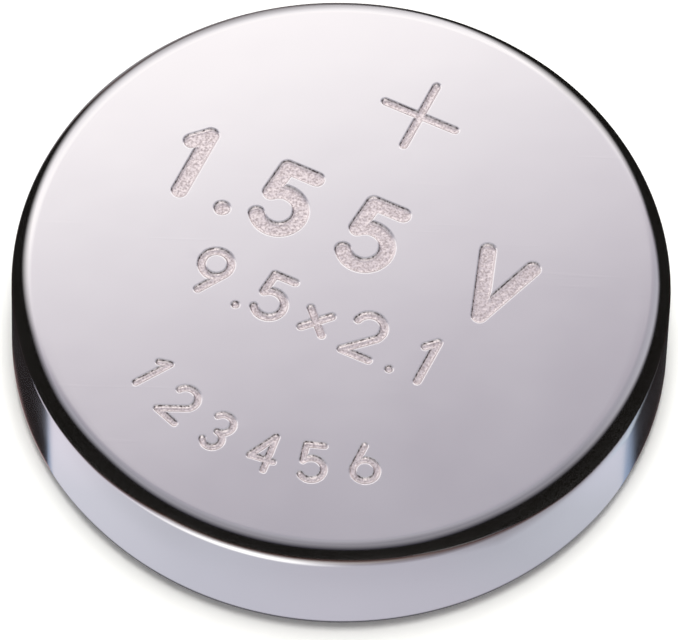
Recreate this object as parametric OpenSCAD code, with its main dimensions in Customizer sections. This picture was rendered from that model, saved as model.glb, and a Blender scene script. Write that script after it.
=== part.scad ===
// Silver oxide button cell: a crimped steel can, a clad cap, a nylon gasket and the fillings between them.
// Millimetres. +Z is up, the positive face is on top, and the cell stands on its negative contact face.

/* [Cell] */
// Outside diameter of the can
cell_d = 9.5; // [9:0.1:12]
// Height from the negative contact face to the positive face
cell_h = 2.1; // [2:0.05:3.6]
// How far the cap stands out below the crimped foot of the can
cap_proud = 0.05; // [0.03:0.01:0.12]

/* [Positive can] */
// Sheet thickness of the drawn can
can_t = 0.2; // [0.15:0.01:0.24]
// Outer radius of the shoulder round the positive face
shoulder_r = 0.3; // [0.26:0.01:0.4]
// Outer radius of the crimped foot
foot_r = 0.3; // [0.26:0.01:0.4]
// Width of the crimped lip, from the wall's outside to its rolled edge
lip_w = 0.75; // [0.65:0.01:0.85]

/* [Negative cap] */
// Sheet thickness of the clad cap
cap_t = 0.15; // [0.12:0.01:0.18]
// Outer radius of the corner round the negative contact face
cap_corner_r = 0.25; // [0.2:0.01:0.28]
// Outer radius of the corner between the cap's step and its skirt
step_corner_r = 0.12; // [0.05:0.01:0.14]
// Width of the ring of gasket that shows between the lip and the cap
seal_w = 0.3; // [0.2:0.01:0.4]
// Gap that is left inside the folded edge
fold_gap = 0.02; // [0.01:0.01:0.04]

/* [Gasket] */
// Thickness of the gasket between the can's wall and the cap's skirt
gasket_wall = 0.26; // [0.2:0.01:0.32]
// Thickness of the gasket between the can's lip and the cap's step
gasket_lip_t = 0.2; // [0.15:0.01:0.25]
// Thickness of the gasket's foot between the folded edge and the films
gasket_foot_t = 0.2; // [0.12:0.01:0.25]
// How far the gasket's foot reaches in past the folded edge
gasket_foot_reach = 0.15; // [0.05:0.01:0.3]
// How far the squeezed gasket bulges out between the lip and the cap
seal_bulge = 0.1; // [0.05:0.01:0.14]

/* [Fillings] */
// Thickness of the pressed silver oxide pellet
pellet_t = 0.55; // [0.45:0.01:0.6]
// Thickness of the barrier film
barrier_t = 0.05; // [0.03:0.01:0.08]
// Thickness of the cellophane film
cellophane_t = 0.03; // [0.02:0.01:0.05]
// Thickness of the absorbent pad
pad_t = 0.3; // [0.25:0.01:0.35]

/* [Fits] */
// Clearance between curved faces that seat against each other
seat_gap = 0.01; // [0.005:0.005:0.02]

/* [Stamped marks] */
// Depth of the stamped marks in the positive face
mark_depth = 0.04; // [0.02:0.01:0.08]
// Clockwise turn of all the marks on the face
mark_turn = 24; // [0:1:90]
// Length of each arm of the polarity sign
plus_size = 1.25; // [0.8:0.05:1.6]
// Stroke width of the polarity sign
plus_stroke = 0.14; // [0.1:0.01:0.2]
// Distance from the edge of the face in to the centre of the polarity sign
plus_inset = 1.54; // [1.3:0.01:1.8]
// How far the polarity sign stands to the left of the middle of the rows
plus_shift = 0.13; // [0:0.01:0.3]
// Height of the voltage figures
volt_h = 1.3; // [0.8:0.05:1.4]
// Stroke width of the voltage figures
volt_stroke = 0.26; // [0.12:0.01:0.3]
// Room along the row for each voltage figure, against plain spacing
volt_spread = 1.25; // [1:0.05:1.4]
// Distance of the middle of the voltage figures above the centre of the face
volt_y = 0.75; // [0.7:0.05:1]
// Height of the size figures
size_h = 0.85; // [0.5:0.05:1]
// Stroke width of the size figures
size_stroke = 0.14; // [0.08:0.01:0.2]
// Room along the row for each size figure, against plain spacing
size_spread = 1; // [0.9:0.05:1.2]
// Distance of the middle of the size figures below the centre of the face
size_y = 0.8; // [0.6:0.05:1.2]
// Height of the figures along the lower edge
edge_h = 0.7; // [0.4:0.05:0.8]
// Stroke width of the figures along the lower edge
edge_stroke = 0.12; // [0.08:0.01:0.16]
// Distance from the edge of the face in to the middle of those figures
edge_inset = 1.25; // [1.1:0.05:1.4]
// Angle between neighbouring figures along the lower edge
edge_pitch = 13; // [10:1:18]

/* [Hidden] */
$fn = 96;

// Radii, from the can's outside inwards
can_r = cell_d / 2;
can_in_r = can_r - can_t;
face_r = can_r - shoulder_r;
lip_in_r = can_r - lip_w;
cap_side_r = lip_in_r - seal_w;
skirt_r = can_in_r - gasket_wall;
leaf_r = skirt_r - cap_t - fold_gap;
leaf_in_r = leaf_r - cap_t;
gasket_foot_in_r = leaf_in_r - gasket_foot_reach;

// Heights, from the negative contact face upwards
lip_top = cap_proud + can_t;
step_z = lip_top + gasket_lip_t;
floor_z = cell_h - can_t;
pellet_z = floor_z - pellet_t;
barrier_z = pellet_z - barrier_t;
film_z = barrier_z - cellophane_t;
pad_z = film_z - pad_t;
fold_z = film_z - gasket_foot_t;
fold_r = cap_t + fold_gap / 2;

// Stamped figures: the nominal voltage, the diameter and height, and plain digits
VOLT_TEXT = "1.55 V";
SIZE_TEXT = "9.5x2.1";
EDGE_TEXT = "123456";

// How far a cutting shape runs past what it cuts
cut_over = 0.1;
// Sides of the fan that cuts a stroke's ring open
FAN_SIDES = 6;

// The half section of a disc that reaches the axis, with its two outer corners rounded
module disc_section(r, low, high, low_r = 0, high_r = 0) {
    difference() {
        translate([0, low]) square([r, high - low]);
        if (low_r > 0)
            translate([r - low_r, low - cut_over]) square([low_r + cut_over, low_r + cut_over]);
        if (high_r > 0)
            translate([r - high_r, high - high_r]) square([high_r + cut_over, high_r + cut_over]);
    }
    if (low_r > 0) translate([r - low_r, low + low_r]) circle(r = low_r);
    if (high_r > 0) translate([r - high_r, high - high_r]) circle(r = high_r);
}

// The can's half section: a drawn cup whose open edge is crimped in to a rolled lip
module can_section() {
    lip_edge = [lip_in_r + can_t / 2, cap_proud + can_t / 2];
    difference() {
        disc_section(can_r, cap_proud, cell_h, foot_r, shoulder_r);
        disc_section(can_in_r, lip_top, floor_z, foot_r - can_t, shoulder_r - can_t);
        translate([0, cap_proud - cut_over]) square([lip_edge[0], can_t + 2 * cut_over]);
    }
    translate(lip_edge) circle(d = can_t);
}

// The cap's half section: contact face, side, step, skirt, and the edge folded back outside the skirt
module cap_section() {
    turn_z = fold_z - fold_r;
    difference() {
        union() {
            disc_section(cap_side_r, 0, step_z + cap_t, cap_corner_r);
            disc_section(leaf_r, step_z, turn_z, step_corner_r);
        }
        disc_section(cap_side_r - cap_t, cap_t, step_z + 2 * cap_t, cap_corner_r - cap_t);
        disc_section(leaf_in_r, step_z + cap_t, turn_z + cut_over);
    }
    translate([leaf_r + fold_gap, step_z]) square([cap_t, turn_z - step_z]);
    difference() {
        translate([leaf_r + fold_gap / 2, turn_z]) circle(r = fold_r);
        translate([leaf_r + fold_gap / 2, turn_z]) circle(d = fold_gap);
        translate([leaf_in_r - cut_over, turn_z - 2 * fold_r]) square([2 * fold_r + 2 * cut_over, 2 * fold_r]);
    }
}

// The gasket's half section: foot under the folded edge, wall round the skirt, lip over the step, bulge at the seal
module gasket_section() {
    bulge_in = cap_side_r + seat_gap;
    bulge_out = lip_in_r - seat_gap;
    difference() {
        disc_section(can_in_r - seat_gap, lip_top, film_z, foot_r - can_t);
        translate([0, lip_top - cut_over]) square([bulge_in, step_z - lip_top + 2 * cut_over]);
        translate([0, step_z]) square([skirt_r + seat_gap, fold_z - step_z]);
        translate([0, fold_z - cut_over]) square([gasket_foot_in_r, film_z - fold_z + 2 * cut_over]);
    }
    translate([bulge_in, lip_top - seal_bulge]) square([bulge_out - bulge_in, seal_bulge]);
}

module positive_can() {
    color("silver") difference() {
        rotate_extrude() can_section();
        translate([0, 0, cell_h - mark_depth]) linear_extrude(mark_depth + cut_over) face_marks();
    }
}

module negative_cap() {
    color("gainsboro") rotate_extrude() cap_section();
}

module gasket() {
    color("ivory") rotate_extrude() gasket_section();
}

module cathode_pellet() {
    color("dimgray") rotate_extrude()
        disc_section(can_in_r - seat_gap, pellet_z, floor_z, 0, shoulder_r - can_t);
}

module barrier_film() {
    color("lightblue") rotate_extrude() disc_section(can_in_r - seat_gap, barrier_z, pellet_z);
}

module cellophane_film() {
    color("lightyellow") rotate_extrude() disc_section(can_in_r - seat_gap, film_z, barrier_z);
}

module absorbent_pad() {
    color("white") rotate_extrude() disc_section(gasket_foot_in_r - seat_gap, pad_z, film_z);
}

module zinc_anode() {
    color("slategray") rotate_extrude() {
        disc_section(cap_side_r - cap_t - seat_gap, cap_t, pad_z, cap_corner_r - cap_t);
        disc_section(leaf_in_r - seat_gap, step_z + cap_t, pad_z);
    }
}

// One straight stroke with round ends
module bar(from, to, stroke) {
    run = to - from;
    translate(from) circle(d = stroke);
    if (norm(run) > 0) {
        translate(to) circle(d = stroke);
        translate(from) rotate(atan2(run[1], run[0]))
            translate([0, -stroke / 2]) square([norm(run), stroke]);
    }
}

// One curved stroke with round ends, from angle a to angle b
module bow(centre, r, a, b, stroke) {
    open = a + 360 - b;
    translate(centre) difference() {
        circle(r = r + stroke / 2);
        circle(r = r - stroke / 2);
        if (open > 0) polygon(concat([[0, 0]], [
            for (i = [0 : FAN_SIDES]) let (t = b + open * i / FAN_SIDES) 2 * (r + stroke) * [cos(t), sin(t)]
        ]));
    }
    if (open > 0) for (t = [a, b]) translate(centre + r * [cos(t), sin(t)]) circle(d = stroke);
}

// The bars of a character, each [from, to], in a cell 1 high
function bars_of(c) =
    c == "1" ? [[[0.3, 0], [0.3, 1]], [[0.3, 1], [0.1, 0.8]]] :
    c == "2" ? [[[0.54, 0.52], [0, 0]], [[0, 0], [0.6, 0]]] :
    c == "4" ? [[[0.45, 0], [0.45, 1]], [[0.45, 1], [0, 0.3]], [[0, 0.3], [0.6, 0.3]]] :
    c == "5" ? [[[0.52, 1], [0.08, 1]], [[0.08, 1], [0.04, 0.54]]] :
    c == "6" ? [[[0.04, 0.45], [0.38, 1]]] :
    c == "9" ? [[[0.56, 0.55], [0.22, 0]]] :
    c == "V" ? [[[0, 1], [0.34, 0]], [[0.34, 0], [0.68, 1]]] :
    c == "x" ? [[[0.06, 0.12], [0.52, 0.6]], [[0.06, 0.6], [0.52, 0.12]]] :
    c == "." ? [[[0.05, 0], [0.05, 0]]] : [];

// The bows of a character, each [centre, radius, from angle, to angle], in the same cell
function bows_of(c) =
    c == "2" ? [[[0.3, 0.7], 0.3, -37, 165]] :
    c == "3" ? [[[0.27, 0.74], 0.26, -90, 150], [[0.27, 0.24], 0.24, -150, 90]] :
    c == "5" ? [[[0.27, 0.31], 0.31, -145, 135]] :
    c == "6" ? [[[0.3, 0.3], 0.3, 0, 360]] :
    c == "9" ? [[[0.3, 0.7], 0.3, 0, 360]] : [];

// The room that a character takes along a row, as a share of its height
function room_of(c) = c == "." || c == " " ? 0.32 : c == "1" ? 0.58 : c == "V" ? 0.95 : 0.85;
function room_to(word, i) = i == 0 ? 0 : room_to(word, i - 1) + room_of(word[i - 1]);

// One character, its outside height h
module figure_mark(c, h, stroke) {
    tall = h - stroke;
    for (b = bars_of(c)) bar(tall * b[0], tall * b[1], stroke);
    for (b = bows_of(c)) bow(tall * b[0], tall * b[1], b[2], b[3], stroke);
}

// A straight row of characters, centred, with its room times spread
module figure_row(word, h, stroke, spread = 1) {
    room = h * spread;
    start = (stroke - room_to(word, len(word)) * room) / 2;
    for (i = [0 : len(word) - 1])
        translate([start + room_to(word, i) * room, (stroke - h) / 2]) figure_mark(word[i], h, stroke);
}

module plus_sign() {
    half = (plus_size - plus_stroke) / 2;
    bar([-half, 0], [half, 0], plus_stroke);
    bar([0, -half], [0, half], plus_stroke);
}

module face_marks() {
    rotate(-mark_turn) {
        translate([-plus_shift, face_r - plus_inset]) plus_sign();
        translate([0, volt_y]) figure_row(VOLT_TEXT, volt_h, volt_stroke, volt_spread);
        translate([0, -size_y]) figure_row(SIZE_TEXT, size_h, size_stroke, size_spread);
        for (i = [0 : len(EDGE_TEXT) - 1])
            rotate((i - (len(EDGE_TEXT) - 1) / 2) * edge_pitch)
                translate([0, edge_inset - face_r]) figure_row(EDGE_TEXT[i], edge_h, edge_stroke);
    }
}

positive_can();
negative_cap();
gasket();
cathode_pellet();
barrier_film();
cellophane_film();
absorbent_pad();
zinc_anode();
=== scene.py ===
# %% [markdown]
# # A silver oxide button cell, dressed for its portrait
# A button cell is a drawn steel can, plated with bright nickel and crimped over a nylon gasket and a
# stepped cap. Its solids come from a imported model, and this lesson gives them their looks: a turned can
# with figures stamped in its face, a satin cap, a squeezed gasket, and a small studio round them.
# Everything is in metres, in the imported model's own frame.

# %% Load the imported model
import math
import random
import bmesh
import bpy
import numpy as np
from mathutils import Matrix, Vector
from mathutils.geometry import delaunay_2d_cdt


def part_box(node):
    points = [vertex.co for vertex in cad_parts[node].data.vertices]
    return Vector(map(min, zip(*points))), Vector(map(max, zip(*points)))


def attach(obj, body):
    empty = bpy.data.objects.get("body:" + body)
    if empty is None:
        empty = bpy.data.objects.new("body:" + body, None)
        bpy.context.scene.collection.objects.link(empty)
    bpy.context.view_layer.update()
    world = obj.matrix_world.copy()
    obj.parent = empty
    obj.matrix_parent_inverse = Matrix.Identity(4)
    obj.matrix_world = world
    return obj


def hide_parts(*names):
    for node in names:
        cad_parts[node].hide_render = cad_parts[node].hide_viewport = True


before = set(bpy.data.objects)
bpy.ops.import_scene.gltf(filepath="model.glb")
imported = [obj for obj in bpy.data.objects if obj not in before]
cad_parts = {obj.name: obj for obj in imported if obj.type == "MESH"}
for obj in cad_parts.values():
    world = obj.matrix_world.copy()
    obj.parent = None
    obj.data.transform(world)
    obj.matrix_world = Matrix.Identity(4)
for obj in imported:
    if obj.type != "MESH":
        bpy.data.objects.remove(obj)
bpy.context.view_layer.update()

print("packed pieces:", sorted(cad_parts))

# %% [markdown]
# ## Sizes
# A real can is drawn from sheet of one thickness, so a handful of sizes fixes every curve of it. The
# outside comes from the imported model's own boxes, so that nothing here can grow past them. The sheet,
# the radii and the clearances are the ones the solids were made with, in millimetres.

# %% Sizes of the cell
MM = 0.001


def millimetres(node):
    """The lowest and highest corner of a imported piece, in millimetres."""
    low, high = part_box(node)
    return low / MM, high / MM


can_low, can_high = millimetres("positive_can")
can_r = min(can_high.x, can_high.y, -can_low.x, -can_low.y)
cell_h = can_high.z
foot_z = can_low.z
can_t = 0.2
shoulder_r = 0.3
foot_r = 0.3
lip_w = 0.75
face_r = can_r - shoulder_r
print(f"can radius {can_r:.4f} mm, height {cell_h:.3f} mm, face radius {face_r:.4f} mm")

# %% [markdown]
# ## Two small helpers
# Colours are written as the hex values that a picture shows, and the renderer wants linear light, so one
# function turns one into the other. A second function adds a node to any tree, with its settings, and
# links whatever it is given as a socket.

# %% Colour and node helpers
def srgb(code):
    """A hex colour such as "#E8E2E6" as linear red, green, blue and alpha."""
    parts = [int(code[i:i + 2], 16) / 255 for i in (1, 3, 5)]
    linear = [p / 12.92 if p <= 0.04045 else ((p + 0.055) / 1.055) ** 2.4 for p in parts]
    return (*linear, 1.0)


def add(tree, kind, settings=None, feeds=None):
    """Adds a node: settings are its properties, feeds its inputs, where a socket is linked."""
    node = tree.nodes.new(kind)
    for name, value in (settings or {}).items():
        setattr(node, name, value)
    for name, value in (feeds or {}).items():
        if isinstance(value, bpy.types.NodeSocket):
            tree.links.new(value, node.inputs[name])
        else:
            node.inputs[name].default_value = value
    return node


def new_material(name):
    """An empty node material and its tree."""
    material = bpy.data.materials.new(name)
    material.use_nodes = True
    material.node_tree.nodes.clear()
    return material, material.node_tree


print("the hex value #808080 is", round(srgb("#808080")[0], 3), "in linear light")

# %% [markdown]
# ## Camera
# The cell is seen from the front and well above, through a long lens, so its round face shows as an
# ellipse and its wall as a narrow crescent. A long lens is set by a small angle of view from far off.
# The camera rolls a little, as it was held a touch out of level.

# %% Camera
CAMERA_ELEVATION = 58.7
CAMERA_ROLL = 1.9
CAMERA_DISTANCE = 0.19
CAMERA_LENS = 692.5
# The camera looks at a point this share of the radius behind the middle of the foot
AIM_BACK = 0.095
aim = Vector((0, AIM_BACK * can_r, foot_z)) * MM

tilt = math.radians(CAMERA_ELEVATION)
roll = math.radians(CAMERA_ROLL)
back = Vector((0, -math.cos(tilt), math.sin(tilt)))
level_up = Vector((0, math.sin(tilt), math.cos(tilt)))
level_right = Vector((1, 0, 0))
cam_right = level_right * math.cos(roll) + level_up * math.sin(roll)
cam_up = level_up * math.cos(roll) - level_right * math.sin(roll)

camera_data = bpy.data.cameras.new("camera")
camera_data.lens = CAMERA_LENS
camera_data.clip_start = 0.01
camera_data.clip_end = 5.0
camera = bpy.data.objects.new("camera", camera_data)
bpy.context.scene.collection.objects.link(camera)
turn = Matrix((cam_right, cam_up, back)).transposed().to_4x4()
camera.matrix_world = Matrix.Translation(aim + back * CAMERA_DISTANCE) @ turn
bpy.context.scene.camera = camera
bpy.context.scene.view_settings.view_transform = "Standard"
print("camera at", [round(v, 4) for v in camera.location])

# %% [markdown]
# ## Bright nickel plate
# The can is low carbon steel, drawn and ironed, then barrel plated with bright nickel. The plate is
# nearly a mirror, with the soft waviness of the drawn sheet below it and a few hair scratches from the
# sorting bowls. The stamping punch leaves the bottoms of the figures frosted, like fine sandpaper. The
# walls of the figures carry painted light: on one side of each figure they are painted dark, a painted
# shade, and on the other painted bright, a painted highlight. Three point attributes tell the material
# where the frost, the painted shade and the painted highlight lie.

# %% Nickel plate material
def nickel_plate():
    """Bright nickel plate, frosted, or with painted shade or a painted highlight where three attributes say
    so.
    """
    material, tree = new_material("bright_nickel_plate")
    place = add(tree, "ShaderNodeTexCoord").outputs["Object"]
    etch = add(tree, "ShaderNodeAttribute", {"attribute_name": "etch"}).outputs["Fac"]
    # These two attributes mark where the marks' walls get painted shade and a painted highlight
    painted_shade = add(tree, "ShaderNodeAttribute", {"attribute_name": "painted_shade"}).outputs["Fac"]
    painted_highlight = add(tree, "ShaderNodeAttribute", {"attribute_name": "painted_highlight"}).outputs["Fac"]
    # Sheet waviness about 1.5 mm long, and punch grain about 0.03 mm across
    waves = add(tree, "ShaderNodeTexNoise", None, {"Vector": place, "Scale": 650.0, "Detail": 2.0})
    grain = add(tree, "ShaderNodeTexNoise", None, {"Vector": place, "Scale": 30000.0, "Detail": 1.0})
    # Hair scratches: the crests of long thin cells of noise, 2.5 mm by 0.07 mm, across the face
    lay = add(tree, "ShaderNodeMapping", None, {
        "Vector": place, "Rotation": (0.0, 0.0, math.radians(62)), "Scale": (400.0, 14000.0, 400.0)})
    hairs = add(tree, "ShaderNodeTexNoise", None, {
        "Vector": lay.outputs[0], "Scale": 1.0, "Detail": 1.0, "Distortion": 0.7})
    scratch = add(tree, "ShaderNodeMapRange", None, {
        "Value": hairs.outputs["Fac"], "From Min": 0.66, "From Max": 0.74, "To Min": 0.0, "To Max": 1.0})
    smooth = add(tree, "ShaderNodeMapRange", None, {
        "Value": waves.outputs["Fac"], "From Min": 0.3, "From Max": 0.7, "To Min": 0.15, "To Max": 0.19})
    plate = add(tree, "ShaderNodeMix", {"data_type": "RGBA"}, {
        "Factor": waves.outputs["Fac"], 6: srgb("#E6E4E5"), 7: srgb("#EAE8E9")})
    # The bottoms of the marks: bright specks among dull pits
    frosted = add(tree, "ShaderNodeMapRange", None, {
        "Value": grain.outputs["Fac"], "From Min": 0.35, "From Max": 0.65, "To Min": 0.40, "To Max": 0.28})
    pits = add(tree, "ShaderNodeMapRange", None, {
        "Value": grain.outputs["Fac"], "From Min": 0.30, "From Max": 0.60, "To Min": 0.0, "To Max": 1.0})
    frost = add(tree, "ShaderNodeMix", {"data_type": "RGBA"}, {
        "Factor": pits.outputs[0], 6: srgb("#C6BAB9"), 7: srgb("#F5EBEA")})
    bottom = add(tree, "ShaderNodeMix", {"data_type": "RGBA"}, {
        "Factor": etch, 6: plate.outputs[2], 7: frost.outputs[2]})
    gloss = add(tree, "ShaderNodeMix", {"data_type": "FLOAT"}, {
        "Factor": etch, "A": smooth.outputs[0], "B": frosted.outputs[0]})
    # Their walls: a painted shade on one side, broken up by the grain, and a painted highlight, paler and
    # rougher, on the other
    ragged = add(tree, "ShaderNodeMapRange", None, {
        "Value": grain.outputs["Fac"], "From Min": 0.36, "From Max": 0.6, "To Min": 1.0, "To Max": 0.45})
    shade_amount = add(tree, "ShaderNodeMath", {"operation": "MULTIPLY"}, {0: painted_shade, 1: ragged.outputs[0]})
    dark = add(tree, "ShaderNodeMix", {"data_type": "RGBA"}, {
        "Factor": shade_amount.outputs[0], 6: bottom.outputs[2], 7: srgb("#443C3E")})
    colour = add(tree, "ShaderNodeMix", {"data_type": "RGBA"}, {
        "Factor": painted_highlight, 6: dark.outputs[2], 7: srgb("#FFF8F8")})
    spread = add(tree, "ShaderNodeMix", {"data_type": "FLOAT"}, {
        "Factor": painted_highlight, "A": gloss.outputs[0], "B": 0.5})
    swell = add(tree, "ShaderNodeBump", None, {
        "Strength": 0.08, "Distance": 0.00005, "Height": waves.outputs["Fac"]})
    lines = add(tree, "ShaderNodeBump", None, {
        "Strength": 0.014, "Distance": 0.00001, "Height": scratch.outputs[0],
        "Normal": swell.outputs["Normal"]})
    surface = add(tree, "ShaderNodeBsdfPrincipled", None, {
        "Base Color": colour.outputs[2], "Metallic": 1.0, "Roughness": spread.outputs[0],
        "Normal": lines.outputs["Normal"]})
    add(tree, "ShaderNodeOutputMaterial", None, {"Surface": surface.outputs[0]})
    return material


plate_material = nickel_plate()
print("material:", plate_material.name)

# %% [markdown]
# ## Satin nickel of the cap
# The cap is pressed from clad sheet, nickel outside and copper inside, and is left as rolled, so it is
# duller than the can and shows the fine rings of the tool that burnished its flat contact face.

# %% Cap material
def satin_nickel():
    """Satin nickel sheet with the fine rings of a burnishing tool."""
    material, tree = new_material("satin_nickel_clad_sheet")
    place = add(tree, "ShaderNodeTexCoord").outputs["Object"]
    # Burnishing rings about 0.12 mm apart, a little wavy
    rings = add(tree, "ShaderNodeTexWave", {"wave_type": "RINGS", "rings_direction": "Z"}, {
        "Vector": place, "Scale": 2600.0, "Distortion": 1.5, "Detail": 2.0, "Detail Scale": 0.6})
    cloud = add(tree, "ShaderNodeTexNoise", None, {"Vector": place, "Scale": 900.0, "Detail": 4.0})
    colour = add(tree, "ShaderNodeMix", {"data_type": "RGBA"}, {
        "Factor": cloud.outputs["Fac"], 6: srgb("#D2CFCB"), 7: srgb("#DEDBD8")})
    gloss = add(tree, "ShaderNodeMapRange", None, {
        "Value": rings.outputs["Fac"], "From Min": 0.0, "From Max": 1.0, "To Min": 0.26, "To Max": 0.34})
    relief = add(tree, "ShaderNodeBump", None, {
        "Strength": 0.12, "Distance": 0.00001, "Height": rings.outputs["Fac"]})
    surface = add(tree, "ShaderNodeBsdfPrincipled", None, {
        "Base Color": colour.outputs[2], "Metallic": 1.0, "Roughness": gloss.outputs[0],
        "Normal": relief.outputs["Normal"]})
    add(tree, "ShaderNodeOutputMaterial", None, {"Surface": surface.outputs[0]})
    return material


cap_material = satin_nickel()
print("material:", cap_material.name)

# %% [markdown]
# ## The fillings and the gasket
# These are moulded, cast, pressed or laid, and none of them is metal. The gasket is natural nylon, a
# little yellow and slightly milky. The pellet is pressed silver oxide powder, matt and almost black. The
# barrier is a grafted polyethylene film, the separator a clear cellulose film, the pad a nonwoven cotton
# soaked in electrolyte, and the negative filling is zinc powder held in a gel. One maker covers them all:
# two tones mixed by a noise as fine as the stuff's own grain, a roughness and a little relief.

# %% Soft and powdery materials
def filling_material(name, dark, light, grain_mm, rough, relief, milky=0.0):
    """A mottled material: two tones, its grain in millimetres, its roughness, relief and milkiness."""
    material, tree = new_material(name)
    place = add(tree, "ShaderNodeTexCoord").outputs["Object"]
    mottle = add(tree, "ShaderNodeTexNoise", None, {
        "Vector": place, "Scale": 1 / (grain_mm * MM), "Detail": 4.0, "Roughness": 0.6})
    colour = add(tree, "ShaderNodeMix", {"data_type": "RGBA"}, {
        "Factor": mottle.outputs["Fac"], 6: srgb(dark), 7: srgb(light)})
    bumps = add(tree, "ShaderNodeBump", None, {
        "Strength": relief, "Distance": grain_mm * MM / 4, "Height": mottle.outputs["Fac"]})
    surface = add(tree, "ShaderNodeBsdfPrincipled", None, {
        "Base Color": colour.outputs[2], "Roughness": rough, "Subsurface Weight": milky,
        "Subsurface Scale": 0.0003, "Normal": bumps.outputs["Normal"]})
    add(tree, "ShaderNodeOutputMaterial", None, {"Surface": surface.outputs[0]})
    return material


gasket_material = filling_material("natural_nylon_moulded", "#DAD2BC", "#EAE4D2", 0.25, 0.42, 0.10, 0.3)
inner_materials = {
    "cathode_pellet": filling_material("silver_oxide_pressed", "#1E1C1B", "#34302D", 0.06, 0.85, 0.5),
    "barrier_film": filling_material("polyethylene_grafted_film", "#CFC9AE", "#DDD8C2", 0.4, 0.5, 0.1),
    "cellophane_film": filling_material("cellulose_clear_film", "#C9D2DA", "#DCE3E8", 0.6, 0.2, 0.05),
    "absorbent_pad": filling_material("cotton_nonwoven_pad", "#D8D7D0", "#F0EFEA", 0.12, 0.9, 0.8),
    "zinc_anode": filling_material("zinc_powder_gel", "#5A5D61", "#84878B", 0.1, 0.45, 0.7),
}
for node, material in inner_materials.items():
    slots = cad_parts[node].data.materials
    if len(slots) == 0:
        slots.append(material)
    for i in range(len(slots)):
        slots[i] = material
    print(node, "wears", material.name)

# %% [markdown]
# ## A lathe made of Geometry Nodes
# Can, cap and gasket are all round, so each is one outline swept about the cell's axis. The outline is a
# chain of points. A grid with one column of points for each step of the turn takes its places from that
# chain, and each column is turned a little further. Merging closes the seam and the pole. The steps are
# an input, so the same tree makes a coarse or a fine piece.

# %% The lathe tree
TURN_STEPS = 256


def lathe_tree():
    """The node tree that sweeps an outline about the vertical axis."""
    tree = bpy.data.node_groups.new("lathe", "GeometryNodeTree")
    tree.is_modifier = True
    inputs = {"Outline": "Geometry", "Steps": "Int", "Seam gap": "Float", "Finish": "Material"}
    for name, kind in inputs.items():
        tree.interface.new_socket(name, in_out="INPUT", socket_type="NodeSocket" + kind)
    tree.interface.new_socket("Piece", in_out="OUTPUT", socket_type="NodeSocketGeometry")
    given = add(tree, "NodeGroupInput").outputs
    count = add(tree, "GeometryNodeAttributeDomainSize", {"component": "MESH"}, {
        "Geometry": given["Outline"]}).outputs["Point Count"]
    columns = add(tree, "ShaderNodeMath", {"operation": "ADD"}, {0: given["Steps"], 1: 1.0})
    grid = add(tree, "GeometryNodeMeshGrid", None, {
        "Vertices X": columns.outputs[0], "Vertices Y": count})
    index = add(tree, "GeometryNodeInputIndex").outputs[0]
    row = add(tree, "ShaderNodeMath", {"operation": "MODULO"}, {0: index, 1: count})
    share = add(tree, "ShaderNodeMath", {"operation": "DIVIDE"}, {0: index, 1: count})
    column = add(tree, "ShaderNodeMath", {"operation": "FLOOR"}, {0: share.outputs[0]})
    part = add(tree, "ShaderNodeMath", {"operation": "DIVIDE"}, {
        0: column.outputs[0], 1: given["Steps"]})
    angle = add(tree, "ShaderNodeMath", {"operation": "MULTIPLY"}, {0: part.outputs[0], 1: 2 * math.pi})
    spot = add(tree, "GeometryNodeInputPosition").outputs[0]
    sample = add(tree, "GeometryNodeSampleIndex", {"data_type": "FLOAT_VECTOR", "domain": "POINT"}, {
        "Geometry": given["Outline"], "Value": spot, "Index": row.outputs[0]})
    turned = add(tree, "ShaderNodeVectorRotate", {"rotation_type": "Z_AXIS"}, {
        "Vector": sample.outputs[0], "Angle": angle.outputs[0]})
    placed = add(tree, "GeometryNodeSetPosition", None, {
        "Geometry": grid.outputs["Mesh"], "Position": turned.outputs[0]})
    closed = add(tree, "GeometryNodeMergeByDistance", None, {
        "Geometry": placed.outputs[0], "Distance": given["Seam gap"]})
    smooth = add(tree, "GeometryNodeSetShadeSmooth", None, {"Geometry": closed.outputs[0]})
    real = add(tree, "GeometryNodeRealizeInstances", None, {"Geometry": smooth.outputs[0]})
    finish = add(tree, "GeometryNodeSetMaterial", None, {
        "Geometry": real.outputs[0], "Material": given["Finish"]})
    add(tree, "NodeGroupOutput", None, {"Piece": finish.outputs[0]})
    return tree


lathe = lathe_tree()
# Points closer than this, in metres, are merged
SEAM_GAP = 1e-7
print(f"lathe tree: {len(lathe.nodes)} nodes, {TURN_STEPS} steps a turn")

# %% Put an outline on the lathe
def on_lathe(name, outline, material):
    """Turns an outline of (radius, height) points in millimetres into a closed mesh, and returns it."""
    chain = bpy.data.meshes.new(name + "_outline")
    points = [(r * MM, 0.0, z * MM) for r, z in outline]
    chain.from_pydata(points, [(i, i + 1) for i in range(len(points) - 1)], [])
    maker = bpy.data.objects.new(name + "_outline", chain)
    bpy.context.scene.collection.objects.link(maker)
    modifier = maker.modifiers.new("lathe", "NODES")
    modifier.node_group = lathe
    wanted = {"Steps": TURN_STEPS, "Seam gap": SEAM_GAP, "Finish": material}
    for item in lathe.interface.items_tree:
        if item.name in wanted and item.in_out == "INPUT":
            modifier[item.identifier] = wanted[item.name]
    graph = bpy.context.evaluated_depsgraph_get()
    mesh = bpy.data.meshes.new_from_object(maker.evaluated_get(graph))
    bpy.data.objects.remove(maker)
    bpy.data.meshes.remove(chain)
    mesh.name = name
    print(f"{name}: {len(outline)} outline points, {len(mesh.vertices)} vertices")
    return mesh


# %% [markdown]
# ## Outlines
# A pressed sheet has no sharp corner outside: each bend is an arc. Smooth shading blends a flat with the
# arc beside it, so every straight run gets a guard point just inside each end, which keeps the flat truly
# flat in the reflections.

# %% Outline helpers
# How far from the end of a straight run its guard point lies, in millimetres
GUARD = 0.012


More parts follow.
